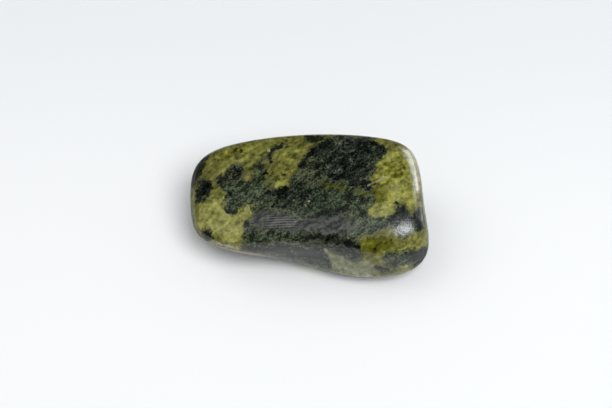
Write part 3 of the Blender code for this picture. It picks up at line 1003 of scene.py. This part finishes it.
@dataclass
class NodeBench:
    """Adds shader nodes to one material and joins them.

    Args:
        material: the material.
        noise_span: the range over which Blender's cloud noise is stretched to fill 0 to 1.
    """

    material: bpy.types.Material
    noise_span: tuple[float, float] = (0.33, 0.67)

    def add(self, kind: str) -> bpy.types.Node:
        """Returns a new node of this kind."""
        return self.material.node_tree.nodes.new(kind)

    def join(self, source: Socket | float | Sequence[float], target: Socket) -> None:
        """Links a socket to another, or sets the value on it.

        Args:
            source: the socket that gives the value, or the value itself.
            target: the socket that takes it.
        """
        if isinstance(source, bpy.types.NodeSocket):
            self.material.node_tree.links.new(source, target)
        else:
            target.default_value = source

    def amount(self, layer: Layer) -> Socket:
        """Reads a layer from the mesh.

        Args:
            layer: the layer.

        Returns:
            How much of it there is.
        """
        held = self.add("ShaderNodeAttribute")
        held.attribute_name = layer.attribute()
        return held.outputs["Fac"]

    def turned(self, place: Socket, turn: Triple, size: Triple) -> Socket:
        """Measures a place along turned axes.

        Args:
            place: the place.
            turn: how far the axes are turned about X, Y and Z, in degrees.
            size: the step that is counted along each of them.

        Returns:
            The place in those steps.
        """
        mapping = self.add("ShaderNodeMapping")
        mapping.vector_type = "TEXTURE"
        self.join(place, mapping.inputs["Vector"])
        self.join([math.radians(angle) for angle in turn], mapping.inputs["Rotation"])
        self.join(size, mapping.inputs["Scale"])
        return mapping.outputs["Vector"]

    def clouds(self, place: Socket, pattern: CloudPattern) -> list[Socket]:
        """Lays out a cloud pattern.

        Args:
            place: where it is looked up.
            pattern: what it is like.

        Returns:
            Its three channels, each spread from 0 to 1.
        """
        cloud = self.add("ShaderNodeTexNoise")
        self.join(place, cloud.inputs["Vector"])
        self.join(pattern.per_mm, cloud.inputs["Scale"])
        self.join(pattern.detail, cloud.inputs["Detail"])
        self.join(pattern.rough, cloud.inputs["Roughness"])
        split = self.add("ShaderNodeSeparateColor")
        self.join(cloud.outputs["Color"], split.inputs["Color"])
        return [self.spread(channel, *self.noise_span) for channel in split.outputs]

    def spread(self, value: Socket, low: float, high: float) -> Socket:
        """Stretches a value evenly.

        Args:
            value: the value.
            low: where the result is 0.
            high: where the result is 1.

        Returns:
            The stretched value, kept from 0 to 1.
        """
        node = self.add("ShaderNodeMapRange")
        self.join(value, node.inputs["Value"])
        self.join(low, node.inputs["From Min"])
        self.join(high, node.inputs["From Max"])
        return node.outputs["Result"]

    def step(self, value: Socket, low: float, high: float, most: float = 1.0) -> Socket:
        """Turns a value into an even S.

        Args:
            value: the value.
            low: below this the result is 0.
            high: above this the result is at its most.
            most: the most that it can be.

        Returns:
            The result.
        """
        node = self.add("ShaderNodeMapRange")
        node.interpolation_type = "SMOOTHSTEP"
        self.join(value, node.inputs["Value"])
        self.join(low, node.inputs["From Min"])
        self.join(high, node.inputs["From Max"])
        self.join(most, node.inputs["To Max"])
        return node.outputs["Result"]

    def times_plus(self, value: Socket, factor: Socket | float, more: Socket | float = 0.0) -> Socket:
        """Multiplies and adds.

        Args:
            value: what is multiplied.
            factor: what it is multiplied by.
            more: what is added to that.

        Returns:
            The result.
        """
        node = self.add("ShaderNodeMath")
        node.operation = "MULTIPLY_ADD"
        for term, socket in zip((value, factor, more), node.inputs):
            self.join(term, socket)
        return node.outputs["Value"]

    def over(self, under: Socket | Colour, coat: Socket | Colour, share: Socket) -> Socket:
        """Lays one colour over another.

        Args:
            under: the colour below.
            coat: the colour above.
            share: how much of the colour below is hidden.

        Returns:
            The colour that is seen.
        """
        node = self.add("ShaderNodeMix")
        node.data_type = "RGBA"
        self.join(share, node.inputs["Factor"])
        sockets = [socket for socket in node.inputs if socket.type == "RGBA"]
        for colour, socket in zip((under, coat), sockets):
            self.join(colour if isinstance(colour, bpy.types.NodeSocket) else (*colour, 1.0), socket)
        return next(socket for socket in node.outputs if socket.type == "RGBA")


@dataclass(frozen=True)
class Coat:
    """How one layer lies over those below it.

    Args:
        layer: which layer.
        colour: its colour.
        lighter: the colour that it clouds into.
        eater: the pattern that eats into its edge.
        channel: which channel of that pattern.
        blur: half the softness of its cloudy edge.
        most: how much of what is below it hides at most.
        clouding: how it clouds into the lighter colour.
    """

    layer: Layer
    colour: Colour
    lighter: Colour
    eater: Texture
    channel: int
    blur: float
    most: float
    clouding: Clouding = Clouding.STREAKY


COATS = (
    Coat(Layer.BRIGHT, (0.010, 0.011, 0.001), (0.425, 0.423, 0.080),
         Texture.CLOUD, 1, 0.35, 0.9, Clouding.EVEN),
    Coat(Layer.STRAW, (0.070, 0.070, 0.008), (0.400, 0.395, 0.124),
         Texture.CRUMB, 1, 0.35, 0.9, Clouding.EVEN),
    Coat(Layer.HOST, (0.005, 0.008, 0.005), (0.117, 0.137, 0.078),
         Texture.CLOUD, 1, 0.45, 0.97),
    Coat(Layer.MOSS, (0.004, 0.005, 0.000), (0.150, 0.152, 0.008),
         Texture.FIBRE, 1, 0.4, 0.9, Clouding.EVEN),
    Coat(Layer.SAGE, (0.060, 0.064, 0.030), (0.245, 0.258, 0.150),
         Texture.CLOUD, 2, 0.4, 1.0, Clouding.EVEN),
    Coat(Layer.FEATHER, (0.013, 0.020, 0.012), (0.128, 0.156, 0.086),
         Texture.CRUMB, 2, 0.4, 0.95),
    Coat(Layer.PLUM, (0.010, 0.010, 0.014), (0.096, 0.106, 0.084),
         Texture.FIBRE, 2, 0.4, 0.97, Clouding.DRIFTING),
    Coat(Layer.FOREST, (0.004, 0.010, 0.005), (0.074, 0.098, 0.062),
         Texture.CRUMB, 1, 0.4, 0.95),
    Coat(Layer.DARK, (0.0015, 0.0022, 0.0015), (0.023, 0.030, 0.023),
         Texture.CRUMB, 2, 0.3, 0.96),
    Coat(Layer.WISP, (0.07, 0.085, 0.06), (0.20, 0.23, 0.185),
         Texture.GRAIN, 1, 0.25, 0.7),
    # Painted reflection: the pale coat of the rim layer, along the right rim and the left foot.
    Coat(Layer.RIM_AND_SHEEN, (0.20, 0.19, 0.10), (0.47, 0.46, 0.31),
         Texture.GRAIN, 2, 0.6, 0.9, Clouding.EVEN),
    Coat(Layer.BROWN_LINE, (0.19, 0.12, 0.075), (0.32, 0.22, 0.15),
         Texture.CLOUD, 2, 0.4, 0.85),
    Coat(Layer.PALE, (0.24, 0.235, 0.13), (0.50, 0.49, 0.30),
         Texture.CRUMB, 0, 0.3, 0.85),
)


@dataclass(frozen=True)
class Scratches:
    """The fine straight scratches that polishing left.

    Args:
        colour: their colour.
        turn: which way they run, in degrees about X, Y and Z.
        closeness: how closely they lie: 1 sets about three in a millimetre.
        waver: how far they stray from straight.
        shows: how high a wave has to be for its scratch to begin to show, and to show fully.
        most: how much of the stone's colour a scratch hides at most.
    """

    colour: Colour = (0.26, 0.25, 0.24)
    turn: Triple = (0.0, 0.0, -2.0)
    closeness: float = 0.95
    waver: float = 0.5
    shows: tuple[float, float] = (0.5, 0.9)
    most: float = 0.4

    def over(self, bench: NodeBench, colour: Socket, in_mm: Socket) -> Socket:
        """Scratches a colour.

        Args:
            bench: what the nodes are added to.
            colour: the colour.
            in_mm: the place on the stone, in millimetres.

        Returns:
            The colour with the scratches over it.
        """
        lines = bench.add("ShaderNodeTexWave")
        lines.bands_direction = "Y"
        bench.join(bench.turned(in_mm, self.turn, (1.0, 1.0, 1.0)), lines.inputs["Vector"])
        bench.join(self.closeness, lines.inputs["Scale"])
        bench.join(self.waver, lines.inputs["Distortion"])
        line = bench.step(lines.outputs["Fac"], *self.shows, self.most)
        return bench.over(colour, self.colour, bench.times_plus(line, bench.amount(Layer.SCRATCHED)))


@dataclass(frozen=True)
class PolishedSerpentine:
    """The finish of the stone: clouded layers under a soft polish.

    Args:
        ground: the darker olive of the ground.
        ground_light: the lighter olive that it clouds into.
        coats: the layers, from the bottom one up.
        scratches: the polishing scratches over them.
        fibre_turn: which way the fibres run, in degrees about X, Y and Z.
        fibre_mm: how long, wide and deep a fibre is.
        roughness: how dull the polish is.
        worn_roughness: how much duller it is where it is worn.
        gloss: how strong its reflections are, where 0.5 is plain.
        worn_gloss: how much that changes where it is worn.
        bending: how strongly it bends light.
        unevenness_mm: how high the polish's slight unevenness stands.
        unevenness_share: how much of that unevenness shows.
    """

    ground: Colour = (0.008, 0.010, 0.001)
    ground_light: Colour = (0.232, 0.231, 0.053)
    coats: tuple[Coat, ...] = COATS
    scratches: Scratches = Scratches()
    fibre_turn: Triple = (0.0, 0.0, 36.0)
    fibre_mm: Triple = (1.9, 0.7, 0.9)
    roughness: float = 0.19
    worn_roughness: float = 0.25
    gloss: float = 0.5
    worn_gloss: float = -0.42
    bending: float = 1.56
    unevenness_mm: float = 0.020
    unevenness_share: float = 0.5

    def patterns(self, bench: NodeBench, in_mm: Socket) -> dict[Texture, list[Socket]]:
        """Lays out the cloud patterns, the fibres along the grain of the rock.

        Args:
            bench: what the nodes are added to.
            in_mm: the place on the stone, in millimetres.

        Returns:
            The channels of each pattern.
        """
        places = {texture: in_mm for texture in Texture}
        places[Texture.FIBRE] = bench.turned(in_mm, self.fibre_turn, self.fibre_mm)
        return {texture: bench.clouds(place, texture.value) for texture, place in places.items()}

    def blended(self, bench: NodeBench, patterns: dict[Texture, list[Socket]], blend: Blend) -> Socket:
        """Adds patterns up.

        Args:
            bench: what the nodes are added to.
            patterns: the channels of each pattern.
            blend: which of them to add, and how.

        Returns:
            The blend, from 0 to 1.
        """
        total: Socket | float = 0.0
        for texture, channel, share in blend.parts:
            total = bench.times_plus(patterns[texture][channel], share, total)
        return bench.spread(total, blend.low, blend.high)

    def share_of(self, bench: NodeBench, coat: Coat, eater: Socket) -> Socket:
        """Works out how much a coat hides, eaten into by clouds.

        Args:
            bench: what the nodes are added to.
            coat: the coat.
            eater: the clouds.

        Returns:
            How much of what lies below it is hidden, from 0 to 1.
        """
        full = 1.0 + 2.0 * coat.blur
        level = bench.times_plus(bench.amount(coat.layer), full, eater)
        return bench.step(level, 1.0, full, coat.most)

    def colour(self, bench: NodeBench, patterns: dict[Texture, list[Socket]]) -> Socket:
        """Lays the coats over the ground.

        Args:
            bench: what the nodes are added to.
            patterns: the channels of each pattern.

        Returns:
            The colour of the rock.
        """
        clouded = {kind: self.blended(bench, patterns, kind.value) for kind in Clouding}
        colour = bench.over(self.ground, self.ground_light, clouded[Clouding.EVEN])
        for coat in self.coats:
            body = bench.over(coat.colour, coat.lighter, clouded[coat.clouding])
            share = self.share_of(bench, coat, patterns[coat.eater][coat.channel])
            colour = bench.over(colour, body, share)
        return colour

    def polish(self, bench: NodeBench, shader: bpy.types.Node, unevenness: Socket) -> None:
        """Polishes the stone.

        Args:
            bench: what the nodes are added to.
            shader: the shader that takes the polish.
            unevenness: how high the surface stands, from 0 to 1.
        """
        bump = bench.add("ShaderNodeBump")
        bench.join(self.unevenness_share, bump.inputs["Strength"])
        bench.join(self.unevenness_mm * MM, bump.inputs["Distance"])
        bench.join(unevenness, bump.inputs["Height"])
        bench.join(bump.outputs["Normal"], shader.inputs["Normal"])
        worn = bench.amount(Layer.WORN)
        dullness = bench.times_plus(worn, self.worn_roughness, self.roughness)
        bench.join(dullness, shader.inputs["Roughness"])
        gloss = bench.times_plus(worn, self.worn_gloss, self.gloss)
        bench.join(gloss, shader.inputs["Specular IOR Level"])
        bench.join(self.bending, shader.inputs["IOR"])

    def material(self) -> bpy.types.Material:
        """Builds the material, read from the object's own place and its layers' attributes.

        Returns:
            The material.
        """
        material = bpy.data.materials.new("polished serpentine")
        material.use_nodes = True
        bench = NodeBench(material)
        shader = material.node_tree.nodes["Principled BSDF"]
        place = bench.add("ShaderNodeTexCoord").outputs["Object"]
        in_mm = bench.turned(place, (0.0, 0.0, 0.0), (MM, MM, MM))
        patterns = self.patterns(bench, in_mm)
        colour = self.scratches.over(bench, self.colour(bench, patterns), in_mm)
        bench.join(colour, shader.inputs["Base Color"])
        self.polish(bench, shader, patterns[Texture.CRUMB][0])
        return material


@dataclass(frozen=True)
class TumbledStone:
    """The stone: its form, its markings and its finish.

    Args:
        markings: what is drawn on it.
        finish: its colour and polish.
        faces: the faces that it is worn to.
        hollows: the hollows pressed into them.
        heart_mm: the point inside that its surface is reached from.
        block_mm: the length, width and height of the block that it is worn from.
        cuts: how many times each half of the block's long edges, and its other edges, are cut.
        edge_wear_mm: how widely one face runs over into the next.
        farthest_mm: a length that is outside the stone in every direction from its heart.
        halvings: how many times that length is halved on the way to the surface.
    """

    markings: Markings
    finish: PolishedSerpentine = PolishedSerpentine()
    faces: tuple[Face, ...] = FACES
    hollows: tuple[Hollow, ...] = HOLLOWS
    heart_mm: Triple = (0.0, 0.0, 6.6)
    block_mm: Triple = (34.0, 18.0, 12.6)
    cuts: int = 98
    edge_wear_mm: float = 0.8
    farthest_mm: float = 26.0
    halvings: int = 24

    def outside(self, points: Points) -> Field:
        """Measures how far points are outside the stone: a soft maximum of its faces, hollows cut in.

        Args:
            points: the points, in millimetres.

        Returns:
            Each point's distance, in millimetres, below 0 inside the stone.
        """
        heights = np.stack([face.height(points) for face in self.faces], axis=-1) / self.edge_wear_mm
        largest = heights.max(axis=-1)
        total = np.exp(heights - largest[..., None]).sum(axis=-1)
        far = self.edge_wear_mm * (largest + np.log(total))
        for hollow in self.hollows:
            far = far + hollow.depth_at(points)
        return far

    def carried_to_surface(self, points: Points) -> Points:
        """Moves points along their rays from the heart until they lie on the stone.

        Args:
            points: the points, from the heart.

        Returns:
            The points on the surface, in millimetres.
        """
        rays = points / np.linalg.norm(points, axis=1, keepdims=True)
        heart = np.array(self.heart_mm)
        near = np.zeros(len(rays))
        far = np.full(len(rays), self.farthest_mm)
        for _ in range(self.halvings):
            middle = (near + far) / 2
            within = self.outside(heart + rays * middle[:, None]) < 0
            near = np.where(within, middle, near)
            far = np.where(within, far, middle)
        return heart + rays * near[:, None]

    def block(self) -> bmesh.types.BMesh:
        """Builds a finely divided block of the stone's proportions, halved first across its length.

        Returns:
            The block's mesh.
        """
        block = bmesh.new()
        bmesh.ops.create_cube(block, size=1.0)
        bmesh.ops.scale(block, vec=self.block_mm, verts=block.verts[:])
        half = self.block_mm[0] / 2
        long_edges = [edge for edge in block.edges if abs(edge.verts[0].co.x - edge.verts[1].co.x) > half]
        bmesh.ops.subdivide_edges(block, edges=long_edges, cuts=1, use_grid_fill=True)
        bmesh.ops.subdivide_edges(block, edges=block.edges[:], cuts=self.cuts, use_grid_fill=True)
        return block

    def build(self) -> bpy.types.Object:
        """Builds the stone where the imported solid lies, and dresses it.

        Returns:
            The stone's object, in metres.
        """
        stone = self.block()
        carried = self.carried_to_surface(np.array([vert.co for vert in stone.verts]))
        low, high = (np.array(corner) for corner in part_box(NODE_NAME))
        placed = np.clip((carried + SETTLED_MM) * MM, low, high)
        for vert, place in zip(stone.verts, placed):
            vert.co = place
        bmesh.ops.recalc_face_normals(stone, faces=stone.faces[:])
        mesh = bpy.data.meshes.new(PIECE_NAME)
        stone.to_mesh(mesh)
        stone.free()
        mesh.polygons.foreach_set("use_smooth", [True] * len(mesh.polygons))
        normals = np.array([vert.normal for vert in mesh.vertices])
        self.markings.dress(mesh, placed / MM, normals)
        mesh.materials.append(self.finish.material())
        piece = bpy.data.objects.new(PIECE_NAME, mesh)
        bpy.context.scene.collection.objects.link(piece)
        return piece


@dataclass(frozen=True)
class PaleFloor:
    """The plain floor, a little darker towards the back.

    Args:
        half_width: half its side, in metres.
        near: its colour in front of the stone.
        far: its colour behind the stone, darker by painted shade.
        fade: where along Y it turns from one to the other, in metres.
        roughness: how dull it is.
        gloss: how strong its reflections are.
    """

    half_width: float = 1.0
    near: Colour = (0.85, 0.86, 0.865)
    far: Colour = (0.77, 0.785, 0.805)
    fade: tuple[float, float] = (-0.012, 0.055)
    roughness: float = 0.9
    gloss: float = 0.0

    def build(self) -> bpy.types.Object:
        """Lays the floor and stages it.

        Returns:
            The floor.
        """
        sheet = bmesh.new()
        bmesh.ops.create_grid(sheet, x_segments=1, y_segments=1, size=self.half_width)
        mesh = bpy.data.meshes.new("floor")
        sheet.to_mesh(mesh)
        sheet.free()
        mesh.materials.append(self.material())
        floor = bpy.data.objects.new("floor", mesh)
        bpy.context.scene.collection.objects.link(floor)
        return floor

    def material(self) -> bpy.types.Material:
        """Builds the floor's material.

        Returns:
            The material.
        """
        material = bpy.data.materials.new("pale floor")
        material.use_nodes = True
        bench = NodeBench(material)
        shader = material.node_tree.nodes["Principled BSDF"]
        split = bench.add("ShaderNodeSeparateXYZ")
        bench.join(bench.add("ShaderNodeTexCoord").outputs["Object"], split.inputs["Vector"])
        # Painted shade: the floor's colour darkens towards the back.
        back = bench.step(split.outputs["Y"], *self.fade)
        bench.join(bench.over(self.near, self.far, back), shader.inputs["Base Color"])
        bench.join(self.roughness, shader.inputs["Roughness"])
        bench.join(self.gloss, shader.inputs["Specular IOR Level"])
        return material


class Diffuser(Enum):
    """The shape of what a lamp shines through."""

    ROUND = "ELLIPSE"
    SQUARE = "RECTANGLE"

    def fill(self) -> float:
        """Returns how much of the rectangle around it the shape fills."""
        return math.pi / 4 if self is Diffuser.ROUND else 1.0


@dataclass(frozen=True)
class Softbox:
    """A lamp behind a diffuser, aimed at the stone.

    Args:
        name: what it does.
        azimuth: where it stands in plan, in degrees.
        elevation: how high it stands over level, in degrees.
        width: across the diffuser, in metres.
        depth: the other way across, in metres.
        glow: its brightness, against a white sheet's 1.
        tint: its colour.
        shape: the shape of the diffuser.
        lights: whether it lights the stone and the floor.
        mirrored: whether it shows in the polish.
        distance: how far from the stone, in metres.
    """

    name: str
    azimuth: float
    elevation: float
    width: float
    depth: float
    glow: float
    tint: Colour = (1.0, 1.0, 1.0)
    shape: Diffuser = Diffuser.SQUARE
    lights: bool = True
    mirrored: bool = True
    distance: float = 0.9

    def place(self) -> bpy.types.Object:
        """Sets the lamp up.

        Returns:
            The lamp.
        """
        data = bpy.data.lights.new(self.name, "AREA")
        data.shape = self.shape.value
        data.size = self.width
        data.size_y = self.depth
        area = self.width * self.depth * self.shape.fill()
        data.energy = self.glow * math.pi * area
        data.color = self.tint
        out = Vector(direction(self.azimuth, self.elevation))
        lamp = bpy.data.objects.new(self.name, data)
        lamp.location = out * self.distance
        lamp.rotation_euler = out.to_track_quat("Z", "Y").to_euler()
        lamp.visible_diffuse = self.lights
        lamp.visible_glossy = self.mirrored
        bpy.context.scene.collection.objects.link(lamp)
        return lamp


LAMPS = (
    Softbox("key softbox", -48, 61, 0.60, 0.60, 6.75, (0.97, 0.985, 1.0), Diffuser.ROUND, mirrored=False),
    Softbox("glint lamp", -26, 47.6, 0.18, 0.18, 24.0, (0.96, 0.98, 1.0), Diffuser.ROUND, lights=False),
    Softbox("front panel", 270, 71, 2.4, 0.45, 0.46, lights=False),
    Softbox("left panel", 155, 50, 0.7, 0.7, 1.15, mirrored=False),
    Softbox("right panel", 5, 9, 0.8, 0.28, 0.6),
    Softbox("rear right panel", 32, 19, 0.6, 0.52, 7.5, lights=False),
)


@dataclass(frozen=True)
class Studio:
    """The lamps and the even light around them.

    Args:
        lamps: the lamps.
        even: the brightness of the even light.
        even_tint: its colour.
    """

    lamps: tuple[Softbox, ...] = LAMPS
    even: float = 0.40
    even_tint: Colour = (1.0, 1.0, 1.0)

    def build(self) -> None:
        """Sets up the lamps, the even light and the plain colour handling."""
        scene = bpy.context.scene
        scene.view_settings.view_transform = "Standard"
        scene.view_settings.look = "None"
        world = bpy.data.worlds.new("studio")
        world.use_nodes = True
        light = world.node_tree.nodes["Background"]
        light.inputs["Color"].default_value = (*self.even_tint, 1.0)
        light.inputs["Strength"].default_value = self.even
        world.cycles_visibility.glossy = False
        scene.world = world
        for lamp in self.lamps:
            lamp.place()


def main() -> None:
    """Builds the camera, the studio, the floor and the stone, in that order."""
    view = Viewpoint()
    camera = view.place()
    LOG.info("%s set", camera.name)
    studio = Studio()
    studio.build()
    LOG.info("studio lit by %d lamps", len(studio.lamps))
    floor = PaleFloor().build()
    LOG.info("%s laid", floor.name)
    stone = TumbledStone(Markings(view)).build()
    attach(stone, "root")
    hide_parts(NODE_NAME)
    marks = sum(len(drawn) for drawn in MARKS.values())
    LOG.info("%s built: %d points, %d marks", stone.name, len(stone.data.vertices), marks)


if __name__ == "__main__":
    logging.basicConfig(level=logging.INFO, format="%(message)s")
    main()
